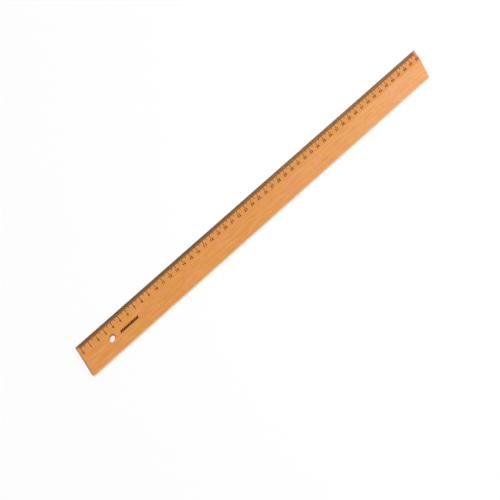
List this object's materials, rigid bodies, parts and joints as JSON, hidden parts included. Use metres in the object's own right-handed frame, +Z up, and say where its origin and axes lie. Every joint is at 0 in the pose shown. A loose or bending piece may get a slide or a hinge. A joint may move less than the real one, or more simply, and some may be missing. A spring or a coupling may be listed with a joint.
{
  "type": "wooden ruler",
  "caption": "Wooden ruler with a bevelled scale edge, printed millimetre scale and centimetre numbers, a hanging hole and a small printed band.",
  "frame": {"origin": "middle of the underside, half way along the blade and half way across it", "axes": "+X along the scale from mark 0 towards the last mark, +Y across the blade towards the bevelled scale edge, +Z up out of the printed face"},
  "size_m": [0.507, 0.033, 0.0035],
  "materials": {
    "beech": "satin clear lacquer over fine straight-grained beech",
    "mark_ink": "matte brown-black printing ink",
    "band_ink": "matte dark brown printing ink"
  },
  "bodies": {
    "root": {"wooden_blade": "beech", "millimetre_marks": "mark_ink", "half_centimetre_marks": "mark_ink", "centimetre_marks": "mark_ink", "numerals_block_1": "mark_ink", "numerals_block_2": "mark_ink", "numerals_block_3": "mark_ink", "numerals_block_4": "mark_ink", "numerals_block_5": "mark_ink", "printed_band": "band_ink"}
  },
  "joints": []
}
